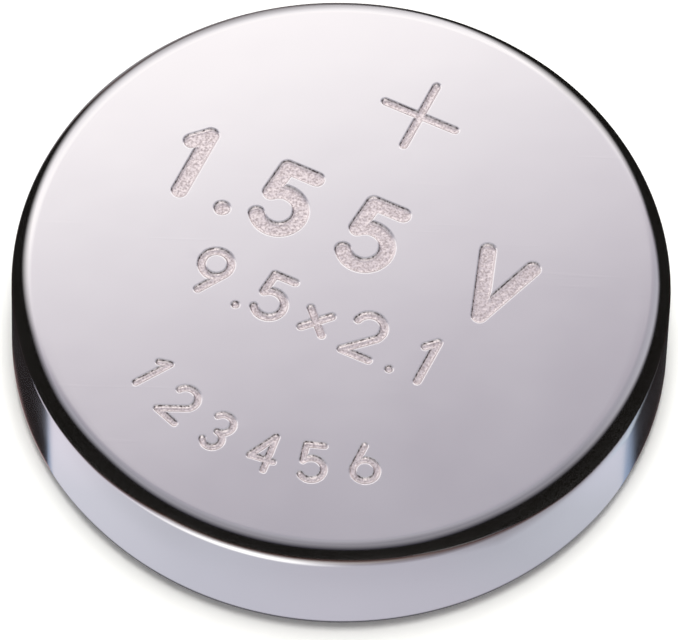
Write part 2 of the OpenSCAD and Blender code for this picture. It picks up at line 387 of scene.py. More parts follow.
def arc(centre, radius, start, end, steps):
    """Points of an arc, its angles in degrees."""
    angles = [math.radians(start + (end - start) * i / steps) for i in range(steps + 1)]
    return [(centre[0] + radius * math.cos(a), centre[1] + radius * math.sin(a)) for a in angles]


def guarded(outline):
    """The outline with guard points added inside each run that is long enough to need them."""
    result = []
    for a, b in zip(outline, outline[1:]):
        length = math.dist(a, b)
        result.append(a)
        if length > 4 * GUARD:
            for share in (GUARD / length, 1 - GUARD / length):
                result.append((a[0] + (b[0] - a[0]) * share, a[1] + (b[1] - a[1]) * share))
    result.append(outline[-1])
    return result


print("a quarter bend in 6 steps has", len(arc((0, 0), 1, 0, 90, 6)), "points")

# %% Finish a piece
def closed_piece(name, mesh, material, sharp_degrees=None):
    """Cleans a mesh, turns its faces outwards and makes it an object."""
    shell = bmesh.new()
    shell.from_mesh(mesh)
    bmesh.ops.remove_doubles(shell, verts=shell.verts, dist=SEAM_GAP)
    bmesh.ops.recalc_face_normals(shell, faces=shell.faces)
    open_edges = sum(1 for e in shell.edges if not e.is_manifold)
    shell.to_mesh(mesh)
    shell.free()
    mesh.shade_smooth()
    if sharp_degrees:
        mesh.set_sharp_from_angle(angle=math.radians(sharp_degrees))
    mesh.materials.clear()
    mesh.materials.append(material)
    piece = bpy.data.objects.new(name, mesh)
    bpy.context.scene.collection.objects.link(piece)
    print(f"{name}: {len(mesh.polygons)} faces, {open_edges} open edges")
    return piece


# %% [markdown]
# ## The can's outline
# From the edge of the face the sheet rolls over the shoulder, runs down the wall and curls in under the
# foot to a rounded lip. Its inside follows one sheet thickness behind. The face itself is left open here,
# because its stamped figures are not round.

# %% Can body on the lathe
can_in_r = can_r - can_t
lip_top = foot_z + can_t
floor_z = cell_h - can_t
inner_bend = foot_r - can_t
lip_mid = (can_r - lip_w + can_t / 2, foot_z + can_t / 2)
can_outline = guarded(
    arc((face_r, cell_h - shoulder_r), shoulder_r, 90, 0, 30)
    + arc((can_r - foot_r, foot_z + foot_r), foot_r, 0, -90, 20)
    + arc(lip_mid, can_t / 2, -90, -270, 16)
    + arc((can_in_r - inner_bend, lip_top + inner_bend), inner_bend, -90, 0, 6)
    + arc((can_in_r - inner_bend, floor_z - inner_bend), inner_bend, 0, 90, 6)
    + [(0.0, floor_z)]
)
can_body = on_lathe("can_body", can_outline, plate_material)

# %% [markdown]
# ## Strokes of the stamped figures
# The punch carries a polarity sign, the nominal voltage, the size and a row of plain digits. Every figure
# is built from straight bars and round bows in a cell one unit high, with round ends, so the distance
# from any point of the face to the nearest stroke has a simple formula. All the marks stand turned
# clockwise on the face, as the can lay in the press.

# %% Figures as bars and bows
MARK_TURN = -24.0
BARS = {
    "1": [((0.3, 0), (0.3, 1)), ((0.3, 1), (0.1, 0.8))],
    "2": [((0.54, 0.52), (0, 0)), ((0, 0), (0.6, 0))],
    "4": [((0.45, 0), (0.45, 1)), ((0.45, 1), (0, 0.3)), ((0, 0.3), (0.6, 0.3))],
    "5": [((0.52, 1), (0.08, 1)), ((0.08, 1), (0.04, 0.54))],
    "6": [((0.04, 0.45), (0.38, 1))],
    "9": [((0.56, 0.55), (0.22, 0))],
    "V": [((0, 1), (0.34, 0)), ((0.34, 0), (0.68, 1))],
    "x": [((0.06, 0.12), (0.52, 0.6)), ((0.06, 0.6), (0.52, 0.12))],
    ".": [((0.05, 0), (0.05, 0))],
}
BOWS = {
    "2": [((0.3, 0.7), 0.3, -37, 165)],
    "3": [((0.27, 0.74), 0.26, -90, 150), ((0.27, 0.24), 0.24, -150, 90)],
    "5": [((0.27, 0.31), 0.31, -145, 135)],
    "6": [((0.3, 0.3), 0.3, 0, 360)],
    "9": [((0.3, 0.7), 0.3, 0, 360)],
}
# How wide a figure's cell is, as a share of its height
ROOM = {".": 0.32, " ": 0.32, "1": 0.58, "V": 0.95}
PLAIN_ROOM = 0.85
print("figures:", " ".join(sorted(BARS.keys() | BOWS.keys())))

# %% A row of figures
def swung(point, degrees):
    """A flat point turned about the middle of the face."""
    c = math.cos(math.radians(degrees))
    s = math.sin(math.radians(degrees))
    return (point[0] * c - point[1] * s, point[0] * s + point[1] * c)


def row_strokes(word, height, width, spread, row_y, swing):
    """The strokes of a centred row of figures: bars as (from, to, half width), bows with their angles."""
    tall = height - width
    cell = height * spread
    x = (width - sum(ROOM.get(c, PLAIN_ROOM) for c in word) * cell) / 2
    y = row_y + (width - height) / 2
    bars, bows = [], []
    for c in word:
        for ends in BARS.get(c, []):
            a, b = [swung((x + tall * px, y + tall * py), swing) for px, py in ends]
            bars.append((a, b, width / 2))
        for (cx, cy), r, start, end in BOWS.get(c, []):
            middle = swung((x + tall * cx, y + tall * cy), swing)
            bows.append((middle, tall * r, start + swing, end + swing, width / 2))
        x += ROOM.get(c, PLAIN_ROOM) * cell
    return bars, bows


print("a 5 has", [len(strokes) for strokes in row_strokes("5", 1.0, 0.1, 1.0, 0.0, 0.0)], "bars and bows")

# %% The marks on the face
PLUS_SIZE = 1.25
PLUS_STROKE = 0.14
PLUS_PLACE = (-0.13, face_r - 1.54)
# The straight rows: figures, height, stroke, spread of the figures and place above the middle
MARK_ROWS = [("1.55 V", 1.3, 0.26, 1.25, 0.75), ("9.5x2.1", 0.85, 0.14, 1.0, -0.8)]
DIGITS = "123456"
DIGIT_HEIGHT = 0.7
DIGIT_STROKE = 0.12
DIGIT_LINE = 1.25 - face_r
# The angle from one digit of the curved row to the next
DIGIT_ANGLE = 13


def face_strokes():
    """The bars and bows of all the marks."""
    bars, bows = [], []
    arm = (PLUS_SIZE - PLUS_STROKE) / 2
    x, y = PLUS_PLACE
    for a, b in (((x - arm, y), (x + arm, y)), ((x, y - arm), (x, y + arm))):
        bars.append((swung(a, MARK_TURN), swung(b, MARK_TURN), PLUS_STROKE / 2))
    rows = [(*row, 0.0) for row in MARK_ROWS]
    for i, digit in enumerate(DIGITS):
        swing = (i - (len(DIGITS) - 1) / 2) * DIGIT_ANGLE
        rows.append((digit, DIGIT_HEIGHT, DIGIT_STROKE, 1.0, DIGIT_LINE, swing))
    for word, height, width, spread, row_y, swing in rows:
        more_bars, more_bows = row_strokes(word, height, width, spread, row_y, swing + MARK_TURN)
        bars += more_bars
        bows += more_bows
    return bars, bows


bars, bows = face_strokes()
print(f"{len(bars)} bars and {len(bows)} bows")

# %% Distance to the nearest stroke
def stroke_distance(points):
    """How far each point lies outside the nearest stroke, in millimetres; less than 0 is inside one."""
    nearest = np.full(len(points), 1e9)
    for a, b, half in bars:
        run = np.subtract(b, a)
        along = np.clip((points - a) @ run / max(run @ run, 1e-12), 0, 1)
        away = np.linalg.norm(points - a - along[:, None] * run, axis=1)
        nearest = np.minimum(nearest, away - half)
    for middle, r, start, end, half in bows:
        spoke = points - middle
        swing = np.degrees(np.arctan2(spoke[:, 1], spoke[:, 0]))
        tips = [swung((r, 0), t) for t in (start, end)]
        at_tip = np.minimum(*[np.linalg.norm(spoke - tip, axis=1) for tip in tips])
        on_bow = np.abs(np.linalg.norm(spoke, axis=1) - r)
        away = np.where((swing - start) % 360 <= end - start, on_bow, at_tip)
        nearest = np.minimum(nearest, away - half)
    return nearest


print(f"the middle of the face lies {stroke_distance(np.zeros((1, 2)))[0]:.3f} mm outside the nearest stroke")

# %% [markdown]
# ## The stamped face
# Modelling each figure by hand would take a day, and a picture of them would have no depth. Instead the
# face is a sheet of triangles whose points follow the strokes: rings of points along each stroke's rim
# and down its wall, a fine scatter on its floor for the frost, and a wide scatter on the bare face. Each
# point's height comes from its distance to the nearest stroke, so a wall leans and its rim is rounded,
# as a punch leaves it.

# %% Sizes of the stamping
MARK_DEPTH = 0.04
WALL_WIDTH = 0.042
# Rings of points follow each stroke's edge at these distances outside it
RIM_LEVELS = [0.016, 0.004, -0.004, -0.012, -0.020, -0.028, -0.036, -0.044]
RIM_STEP = 0.02
RIM_SLACK = 0.0005
FLOOR_STEP = 0.024
FLOOR_SHAKE = 0.25
FACE_STEP = 0.22
# No mark comes closer than this to the edge of the face
BARE_EDGE = 0.3
# A honeycomb's rows lie this share of a step apart
ROW_PITCH = 0.866
FROST_HEIGHT = 0.0018
# The side of each figure whose walls get the painted shade, as a direction on the face; the other side's
# walls get the painted highlight
SHADED_SIDE = swung((1, 0), 113)
# How sharply the painted shade and highlight set in down a wall, and how fast they deepen as the wall turns
# to that side
WALL_EDGE = 12
SIDE_GAIN = 2.5
# The painted shade fades out at this share of the wall's depth, this fast
SHADE_END = 0.72
SHADE_EDGE = 4
random.seed(7)
print(f"marks {MARK_DEPTH} mm deep, their walls {WALL_WIDTH} mm wide")

# %% Points that follow the strokes
def steps_for(length):
    """How many steps along a rim cover a length."""
    return math.ceil(length / RIM_STEP)


def stroke_rim(level):
    """Points at one distance outside every stroke's edge, before the overlaps are thinned."""
    found = []
    for a, b, half in bars:
        reach = half + level
        if reach > 0:
            heading = math.degrees(math.atan2(b[1] - a[1], b[0] - a[0]))
            for end, side in ((a, 90), (b, -90)):
                start = heading + side
                found += arc(end, reach, start, start + 180, steps_for(reach * math.pi))
            steps = steps_for(math.dist(a, b))
            off = swung((0, reach), heading)
            for i in range(1, steps):
                x, y = (a[k] + (b[k] - a[k]) * i / steps for k in (0, 1))
                found += [(x + off[0], y + off[1]), (x - off[0], y - off[1])]
    for middle, r, start, end, half in bows:
        reach = half + level
        if reach > 0:
            for radius in (r - reach, r + reach):
                found += arc(middle, radius, start, end, steps_for(radius * math.radians(end - start)))
            if end - start < 360:
                for t, side in ((start, 180), (end, 0)):
                    tip = arc(middle, r, t, t, 1)[0]
                    found += arc(tip, reach, t + side, t + side + 180, steps_for(reach * math.pi))
    return np.array(found)


print(f"{len(stroke_rim(0))} points along the strokes' edges, {RIM_STEP} mm apart")

# %% Points spread over the face
def honeycomb(step, radius, shake):
    """Points spread over a disc in a shaken honeycomb."""
    found = []
    rows = math.ceil(radius / (step * ROW_PITCH))
    for j in range(-rows, rows + 1):
        for i in range(-rows, rows + 1):
            x = (i + 0.5 * (j % 2)) * step + random.uniform(-shake, shake) * step
            y = j * step * ROW_PITCH + random.uniform(-shake, shake) * step
            if x * x + y * y < radius * radius:
                found.append((x, y))
    return np.array(found)


print(f"rows of points lie {FACE_STEP * ROW_PITCH:.3f} mm apart on the bare face")

# %% The face as a sheet of triangles
def stamped_face():
    """Vertices in millimetres, triangles, and each vertex's frost, painted shade and painted highlight."""
    ring = np.array([swung((face_r, 0), 360 * i / TURN_STEPS) for i in range(TURN_STEPS)])
    groups = [ring, ring * (1 - GUARD / face_r)]
    for level in RIM_LEVELS:
        points = stroke_rim(level)
        points = points[np.abs(stroke_distance(points) - level) < RIM_SLACK]
        _, first = np.unique(np.round(points / (RIM_STEP / 4)), axis=0, return_index=True)
        groups.append(points[np.sort(first)])
    floor_points = honeycomb(FLOOR_STEP, face_r - BARE_EDGE, FLOOR_SHAKE)
    groups.append(floor_points[stroke_distance(floor_points) < RIM_LEVELS[-1] - FLOOR_STEP / 2])
    bare_points = honeycomb(FACE_STEP, face_r - FACE_STEP / 2, 0.0)
    groups.append(bare_points[stroke_distance(bare_points) > FACE_STEP / 2])
    flat = np.concatenate(groups)
    depth = np.clip(-stroke_distance(flat) / WALL_WIDTH, 0, 1)
    depth = depth * depth * (3 - 2 * depth)
    frost = np.array([random.uniform(-1, 1) for _ in flat]) * FROST_HEIGHT
    height = cell_h - depth * (MARK_DEPTH - frost)
    wall = np.clip(np.minimum(depth, 1 - depth) * WALL_EDGE, 0, 1)
    upper = np.clip((SHADE_END - depth) * SHADE_EDGE, 0, 1)
    # How far the wall at each point faces the side that gets the painted shade
    probe = WALL_WIDTH / 20
    step = np.multiply(SHADED_SIDE, probe)
    side_facing = (stroke_distance(flat + step) - stroke_distance(flat - step)) / (2 * probe)
    # Each vertex's frost depth, and how much painted shade or painted highlight its wall gets
    tones = {
        "etch": depth,
        "painted_shade": wall * upper * np.clip(side_facing * SIDE_GAIN, 0, 1),
        "painted_highlight": wall * np.clip(-side_facing * SIDE_GAIN, 0, 1),
    }
    triangles = delaunay_2d_cdt([Vector(p) for p in flat.tolist()], [], [], 0, 1e-7)[2]
    return np.column_stack([flat, height]), triangles, tones


face_points, face_triangles, face_tones = stamped_face()
print(f"stamped face: {len(face_points)} points, {len(face_triangles)} triangles")

# %% Join the face to the can
def join_can():
    """One mesh of the turned body and the stamped face, with the face's tones as point attributes."""
    body = np.empty(len(can_body.vertices) * 3)
    can_body.vertices.foreach_get("co", body)
    start = len(face_points)
    points = np.concatenate([face_points * MM, body.reshape(-1, 3)])
    faces = [list(t) for t in face_triangles]
    faces += [[start + i for i in polygon.vertices] for polygon in can_body.polygons]
    mesh = bpy.data.meshes.new("nickel_can")
    mesh.from_pydata(points.tolist(), [], faces)
    for name, tone in face_tones.items():
        layer = mesh.attributes.new(name, "FLOAT", "POINT")
        layer.data.foreach_set("value", np.concatenate([tone, np.zeros(len(points) - start)]))
    return mesh


can = closed_piece("nickel_can", join_can(), plate_material)
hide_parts("positive_can")
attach(can, "root")

# %% [markdown]
# ## The cap
# The cap is a shallow cup with a step. Its flat bottom is the negative contact, its side rises to the
# step, the step carries the gasket, and the skirt's edge is folded back outside itself, which gives the
# crimp a soft double edge to press on. Only the cup shows, in the middle of the cell's underside.

# %% Cap on the lathe
cap_t = 0.15
cap_corner = 0.25
step_corner = 0.12
fold_gap = 0.02
seal_w = 0.3
gasket_wall = 0.26
gasket_lip_t = 0.2
cap_side_r = can_r - lip_w - seal_w
skirt_r = can_in_r - gasket_wall
leaf_r = skirt_r - cap_t - fold_gap
step_z = lip_top + gasket_lip_t
cap_top = millimetres("negative_cap")[1].z
fold_r = cap_t + fold_gap / 2
turn_z = cap_top - fold_r
turn_r = leaf_r + fold_gap / 2
in_corner = cap_corner - cap_t
cap_outline = guarded(
    [(0.0, 0.0)]
    + arc((cap_side_r - cap_corner, cap_corner), cap_corner, -90, 0, 16)
    + [(cap_side_r, step_z)]
    + arc((leaf_r - step_corner, step_z + step_corner), step_corner, -90, 0, 8)
    + arc((turn_r, turn_z), fold_gap / 2, 180, 0, 8)
    + [(leaf_r + fold_gap, step_z), (skirt_r, step_z)]
    + arc((turn_r, turn_z), fold_r, 0, 180, 20)
    + [(leaf_r - cap_t, step_z + cap_t), (cap_side_r - cap_t, step_z + cap_t)]
    + arc((cap_side_r - cap_t - in_corner, cap_t + in_corner), in_corner, 0, -90, 8)
    + [(0.0, cap_t)]
)
CREASE = 40
cap_body = on_lathe("cap_body", cap_outline, cap_material)
cap = closed_piece("nickel_cap", cap_body, cap_material, CREASE)
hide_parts("negative_cap")
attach(cap, "root")

# %% [markdown]
# ## The gasket
# The gasket is moulded as an L and squeezed by the crimp until it swells a little between the lip and
# the cap. That swollen ring is all of it that shows, so its two outer edges are rounded over.

# %% Gasket on the lathe
SEAT_GAP = 0.01
gasket_top = millimetres("gasket")[1].z
gasket_low = millimetres("gasket")[0].z
gasket_r = can_in_r - SEAT_GAP
bulge_in = cap_side_r + SEAT_GAP
bulge_out = can_r - lip_w - SEAT_GAP
swell_r = 0.07
foot_reach = 0.15
gasket_foot_r = leaf_r - cap_t - foot_reach
gasket_outline = guarded(
    [(bulge_in, step_z)]
    + arc((bulge_in + swell_r, gasket_low + swell_r), swell_r, 180, 270, 10)
    + arc((bulge_out - swell_r, gasket_low + swell_r), swell_r, 270, 360, 10)
    + [(bulge_out, lip_top)]
    + arc((gasket_r - inner_bend, lip_top + inner_bend), inner_bend, -90, 0, 6)
    + [(gasket_r, gasket_top), (gasket_foot_r, gasket_top), (gasket_foot_r, cap_top)]
    + [(skirt_r + SEAT_GAP, cap_top), (skirt_r + SEAT_GAP, step_z), (bulge_in, step_z)]
)
gasket_body = on_lathe("gasket_body", gasket_outline, gasket_material)
gasket = closed_piece("nylon_gasket", gasket_body, gasket_material, CREASE)
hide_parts("gasket")
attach(gasket, "root")

# %% [markdown]
# ## Floor
# The floor is plain white paper. To the camera it takes soft shadow as paper does, with a little light of
# its own so that it runs out into the white surround with no edge. To everything else it is plain white.
# Seen from below it is clear, so the cell's underside can be looked at.

# %% Floor
FLOOR_HALF = 0.3
FLOOR_Z = -0.000002
PAPER_GLOW = 0.07


def paper_material():
    """White paper to the camera, plain white to everything else, and clear from below."""
    material, tree = new_material("white_paper")
    seen = add(tree, "ShaderNodeLightPath").outputs["Is Camera Ray"]
    below = add(tree, "ShaderNodeNewGeometry").outputs["Backfacing"]
    paper = add(tree, "ShaderNodeBsdfDiffuse", None, {"Color": srgb("#F9F9F5")})
    glow = add(tree, "ShaderNodeEmission", None, {"Color": srgb("#FFFFFF"), "Strength": PAPER_GLOW})
    lit = add(tree, "ShaderNodeAddShader", None, {0: paper.outputs[0], 1: glow.outputs[0]})
    mirrored = add(tree, "ShaderNodeEmission", None, {"Color": srgb("#FFFFFF"), "Strength": 1.0})
    top = add(tree, "ShaderNodeMixShader", None, {0: seen, 1: mirrored.outputs[0], 2: lit.outputs[0]})
    clear = add(tree, "ShaderNodeBsdfTransparent")
    side = add(tree, "ShaderNodeMixShader", None, {0: below, 1: top.outputs[0], 2: clear.outputs[0]})
    add(tree, "ShaderNodeOutputMaterial", None, {"Surface": side.outputs[0]})
    return material


paper_white = paper_material()
print("material:", paper_white.name)

# %% Things of the studio
def stage_object(name, points, faces, material, seen_by_metal_only=True):
    """A thing of the studio. Cards that only shape the reflections are hidden from everything else."""
    mesh = bpy.data.meshes.new(name)
    mesh.from_pydata(points, [], faces)
    mesh.materials.append(material)
    thing = bpy.data.objects.new(name, mesh)
    bpy.context.scene.collection.objects.link(thing)
    if seen_by_metal_only:
        thing.visible_camera = False
        thing.visible_diffuse = False
        thing.visible_transmission = False
        thing.visible_volume_scatter = False
        thing.visible_shadow = False
    return thing


square = ((-1, -1), (1, -1), (1, 1), (-1, 1))
corners = [(x * FLOOR_HALF, y * FLOOR_HALF, FLOOR_Z) for x, y in square]
stage_object("paper_floor", corners, [(0, 1, 2, 3)], paper_white, False)
print("floor is", 2 * FLOOR_HALF, "m wide")

# %% [markdown]
# ## Cards for the metal
# Bright metal shows nothing but its surroundings, so a studio shapes those with tents and cards. Those
# put up here are seen by the metal alone. The first is a round tent. Its tone changes along one
# direction, which gives the flat face its soft fall from bright at the back to grey at the front.

# %% Tent cloth
TENT_RADIUS = 0.03
TENT_STRENGTH = 1.8
TENT_FALL = (-0.28, 0.96, 0.0)
# The tent's tone along its fall, from the front right at -1 to the back left at 1
TENT_TONES = [
    (-1.0, "#7A787C"), (-0.97, "#B4B1B3"), (-0.87, "#FFFAFA"), (-0.80, "#E6E2E3"), (-0.71, "#B2B0B2"),
    (-0.5, "#ACAAAD"), (-0.2, "#A5A3A7"), (0.11, "#9F9EA4"), (0.25, "#95949B"), (0.30, "#8F8E96"),
    (0.355, "#8F8B93"), (0.39, "#949098"), (0.42, "#A29EA5"), (0.45, "#ADA9AF"), (0.48, "#B6B2B7"),
    (0.51, "#BEBBBF"), (0.54, "#CBC8CA"), (0.58, "#D8D5D6"), (0.62, "#DDDBDA"), (0.72, "#D5D3D4"),
    (0.79, "#CDCBCC"), (0.86, "#C1BFC1"), (0.91, "#B0AEB0"), (0.95, "#A4A2A4"), (1.0, "#8C8A8C"),
]


def fill_ramp(ramp, low, high, tones):
    """Sets a colour ramp's stops from a table of (value, hex colour)."""
    stops = ramp.color_ramp.elements
    while len(stops) < len(tones):
        stops.new(0.5)
    for stop, (value, tone) in zip(stops, tones):
        stop.position = (value - low) / (high - low)
        stop.color = srgb(tone)


def tent_material():
    """Lit cloth, its tone read from where it lies along the tent's fall."""
    material, tree = new_material("tent_cloth_lit")
    place = add(tree, "ShaderNodeTexCoord").outputs["Object"]
    near = add(tree, "ShaderNodeVectorMath", {"operation": "SCALE"}, {0: place, "Scale": 1 / TENT_RADIUS})
    slope = add(tree, "ShaderNodeVectorMath", {"operation": "DOT_PRODUCT"}, {
        0: near.outputs[0], 1: TENT_FALL})
    share = add(tree, "ShaderNodeMapRange", None, {
        "Value": slope.outputs["Value"], "From Min": -1.0, "From Max": 1.0})
    shade = add(tree, "ShaderNodeValToRGB", None, {"Fac": share.outputs[0]})
    fill_ramp(shade, -1.0, 1.0, TENT_TONES)
    glow = add(tree, "ShaderNodeEmission", None, {"Color": shade.outputs[0], "Strength": TENT_STRENGTH})
    add(tree, "ShaderNodeOutputMaterial", None, {"Surface": glow.outputs[0]})
    return material


tent_cloth = tent_material()
print("material:", tent_cloth.name, "with", len(TENT_TONES), "tones")

# %% Tent
def from_lowest(corners):
    """The same face, named from its lowest corner on."""
    start = corners.index(min(corners))
    return corners[start:] + corners[:start]


def tent():
    """A round tent about the cell."""
    shell = bmesh.new()
    bmesh.ops.create_uvsphere(shell, u_segments=64, v_segments=32, radius=TENT_RADIUS)
    mesh = bpy.data.meshes.new("tent")
    shell.to_mesh(mesh)
    shell.free()
    points = [tuple(v.co) for v in mesh.vertices]
    # A ready-made sphere names its faces in another order on each run, so they are sorted
    faces = sorted(from_lowest(tuple(p.vertices)) for p in mesh.polygons)
    bpy.data.meshes.remove(mesh)
    return stage_object("light_tent", points, faces, tent_cloth)


round_tent = tent()
print("tent:", len(round_tent.data.polygons), "faces")

# %% [markdown]
# ## The card on the floor
# The cell's wall looks down at the floor in front of it, so a ring of printed card lies there. Its front
# is a pale lilac, and white far out, which draws a bright line along the top of the wall. About halfway
# back to the cell's widest points the card turns dark, through a bluish edge. The print is written as a
# recipe: each row names a value and says how it is made from the ones above it, and a loop turns the
# rows into nodes.

# %% Recipe of the card's print
CARD_STRENGTH = 1.2
# The front's tone from left to right, at x in millimetres
TONES_END = 5.0
CARD_TONES = [
    (-5.0, "#DEDAE5"), (-4.1, "#CACBD5"), (-2.3, "#BFC0CB"), (-0.1, "#BDBCC7"), (1.9, "#B8B7C2"),
    (3.2, "#B3B5BF"), (4.1, "#B8BBC5"), (4.75, "#C5C7D4"),
]
# The pale front ends at y = FRONT_Y, and further aside at y = FRONT_SLOPE |x| - FRONT_START
FRONT_Y = -2.3
FRONT_SLOPE = 0.68
FRONT_START = 5.17
# Each row is a name, how it is made, and what from. A step goes smoothly from its fourth value to its
# fifth as its first passes from the second to the third, and a mix turns its second into its third.
CARD_RECIPE = [
    # How far a point lies behind the end of the pale front
    ("apart", "ABSOLUTE", "x"),
    ("aside", "MULTIPLY", "apart", FRONT_SLOPE),
    ("slant", "SUBTRACT", "aside", FRONT_START),
    ("limit", "MAXIMUM", "slant", FRONT_Y),
    ("beyond", "SUBTRACT", "y", "limit"),
    ("slack", "step", "x", -1.0, 1.0, 0.04, -0.05),
    ("behind", "ADD", "beyond", "slack"),
    # Behind that end it is dark, after a bluish edge, with a narrow pink line by the wall on the left
    ("close", "step", "reach", 4.77, 4.83, 1.0, 0.0),
    ("ahead", "step", "y", -1.5, 0.5, 1.0, 0.0),
    ("line", "MULTIPLY", "close", "ahead"),
    ("pink_side", "step", "x", -1.0, 1.0, 1.0, 0.25),
    ("pink", "MULTIPLY", "line", "pink_side"),
    ("dark", "mix", "pink", "#130E0F", "#BC9C9C"),
    ("blue_end", "step", "x", -1.0, 1.0, 0.09, 0.32),
    ("past_blue", "step", "behind", 0.04, "blue_end", 0.0, 1.0),
    ("flank", "mix", "past_blue", "#8496B0", "dark"),
    # A little paler behind the cell, then grey further out, deeper to the right
    ("paler", "step", "y", 1.5, 4.0, 0.0, 0.3),
    ("rear", "mix", "paler", "flank", "front"),
    ("deeper", "step", "x", -3.0, 1.0, 0.0, 1.0),
    ("grey", "mix", "deeper", "#8C8A8C", "#565456"),
    ("away", "step", "reach", 6.6, 7.4, 0.0, 1.0),
    ("back", "mix", "away", "rear", "grey"),
    # The front is white far out, and from nearer in on the left of its middle
    ("from_left", "step", "x", -5.8, -3.6, 0.0, 1.0),
    ("to_middle", "step", "x", -1.6, 0.8, 1.0, 0.0),
    ("window", "MULTIPLY", "from_left", "to_middle"),
    ("near_white", "step", "reach", 6.1, 7.2, 0.0, 1.0),
    ("nearer", "MULTIPLY", "window", "near_white"),
    ("far_white", "step", "reach", 8.0, 10.5, 0.0, 1.0),
    ("white", "MAXIMUM", "nearer", "far_white"),
    ("fore", "mix", "white", "front", "#FFFFFF"),
    ("half", "step", "behind", -0.05, 0.04, 0.0, 1.0),
    ("colour", "mix", "half", "fore", "back"),
    # It glows least under the foot, a painted shadow of the cell, and a little less far out and at the left
    ("foot_front", "step", "y", -3.4, -2.2, -0.1, 0.0),
    ("nearness", "ADD", "reach", "foot_front"),
    ("under", "step", "nearness", 4.62, 4.76, 0.12, CARD_STRENGTH),
    ("left_side", "step", "x", -3.2, -2.2, -0.07, 0.0),
    ("left_reach", "step", "reach", 5.2, 5.6, 0.0, 1.0),
    ("left_loss", "MULTIPLY", "left_side", "left_reach"),
    ("far_loss", "step", "reach", 5.1, 5.9, 1.0, 0.91),
    ("kept_glow", "ADD", "far_loss", "left_loss"),
    ("white_gain", "MULTIPLY", "nearer", 0.3),
    ("outer_glow", "ADD", "kept_glow", "white_gain"),
    ("strength", "MULTIPLY", "under", "outer_glow"),
]
print("the card's recipe has", len(CARD_RECIPE), "rows")

# %% Printed card
def card_material():
    """Printed card, its colour and glow made from the recipe's rows."""
    material, tree = new_material("floor_card_printed")
    place = add(tree, "ShaderNodeTexCoord").outputs["Object"]
    in_mm = add(tree, "ShaderNodeVectorMath", {"operation": "SCALE"}, {0: place, "Scale": 1 / MM}).outputs[0]
    axes = add(tree, "ShaderNodeSeparateXYZ", None, {0: in_mm}).outputs
    length = add(tree, "ShaderNodeVectorMath", {"operation": "LENGTH"}, {0: in_mm})
    across = add(tree, "ShaderNodeMapRange", None, {
        "Value": axes["X"], "From Min": -TONES_END, "From Max": TONES_END})
    lilac = add(tree, "ShaderNodeValToRGB", None, {"Fac": across.outputs[0]})
    fill_ramp(lilac, -TONES_END, TONES_END, CARD_TONES)
    made = {"x": axes["X"], "y": axes["Y"], "reach": length.outputs["Value"], "front": lilac.outputs[0]}
    ends = ("Value", "From Min", "From Max", "To Min", "To Max")
    for name, way, *words in CARD_RECIPE:
        parts = [srgb(w) if str(w).startswith("#") else made.get(w, w) for w in words]
        if way == "step":
            feeds = dict(zip(ends, parts))
            node = add(tree, "ShaderNodeMapRange", {"interpolation_type": "SMOOTHSTEP"}, feeds)
            made[name] = node.outputs[0]
        elif way == "mix":
            node = add(tree, "ShaderNodeMix", {"data_type": "RGBA"}, dict(zip(("Factor", 6, 7), parts)))
            made[name] = node.outputs[2]
        else:
            node = add(tree, "ShaderNodeMath", {"operation": way}, dict(enumerate(parts)))
            made[name] = node.outputs[0]
    glow = add(tree, "ShaderNodeEmission", None, {"Color": made["colour"], "Strength": made["strength"]})
    add(tree, "ShaderNodeOutputMaterial", None, {"Surface": glow.outputs[0]})
    return material


card_print = card_material()
print("material:", card_print.name)

# %% Card on the floor
CARD_Z = 0.02
CARD_INNER = 4.36
CARD_OUTER = 29.9
CARD_POINTS = 96
swings = [360 * i / CARD_POINTS for i in range(CARD_POINTS + 1)]
rings = [(*swung((r * MM, 0), t), CARD_Z * MM) for r in (CARD_INNER, CARD_OUTER) for t in swings]
count = len(swings)
card_faces = [(i, i + 1, count + i + 1, count + i) for i in range(count - 1)]
stage_object("floor_card", rings, card_faces, card_print)
print("floor card:", len(card_faces), "faces, out to", CARD_OUTER, "mm")

# %% [markdown]
# ## The hood round the shoulder
# The shoulder between face and wall bends so tightly that it mirrors the whole room in one narrow band. A
# hood of black flock stands close round it and draws the dark part of that band. Blue gauze hangs over
# the hood's upper edge, a brown board shows under its lower edge, and a thin streak of cool card lies
# under it at both sides. All four follow tables, because how high they reach changes round the cell.

# %% Edges of the hood, read from tables
# The tables run round the cell, from the back over the left to the front at 0 and on over the right.
# HOOD_TOP and HOOD_END are the hood's edges as angles about the shoulder's bend, and the two FADE tables
# are how many degrees each edge takes to set in.
HOOD_TOP = [
    (-180, 2), (-165, 2), (-151, 8), (-137, 26), (-122, 34), (-107, 46), (-92, 59), (-77, 69), (-62, 64),
    (-47, 71), (-31, 69), (-16, 69), (0, 70), (16, 66), (31, 69), (46, 66), (62, 63), (77, 58.5), (92, 54),
    (107, 60), (122, 54), (137, 53), (151, 40), (166, 19), (180, 2),
]
TOP_FADE = [
    (-180, 6), (-165, 8), (-151, 24), (-137, 30), (-122, 29), (-107, 25), (-92, 32), (-77, 24), (-47, 17),
    (0, 19), (46, 17), (77, 13), (107, 13), (122, 24), (137, 42), (151, 34), (166, 22), (180, 6),
]
HOOD_END = [
    (-180, -4), (-165, -4), (-151, 2), (-137, 8), (-122, -8), (-107, -24), (-92, -28), (-62, -30), (-47, -30),
    (-31, -8), (-16, -3), (0, -13), (16, -32), (31, -50), (47, -45), (63, -46), (77, -38), (92, -28),
    (130, -28), (155, -22), (168, -12), (180, -4),
]
END_FADE = [
    (-180, 2), (-151, 6), (-137, 10), (-122, 4), (-107, 1.5), (-62, 1.5), (-47, 14), (-31, 18), (-16, 16),
    (0, 27), (16, 38), (31, 40), (47, 7), (63, 2), (180, 1.5),
]
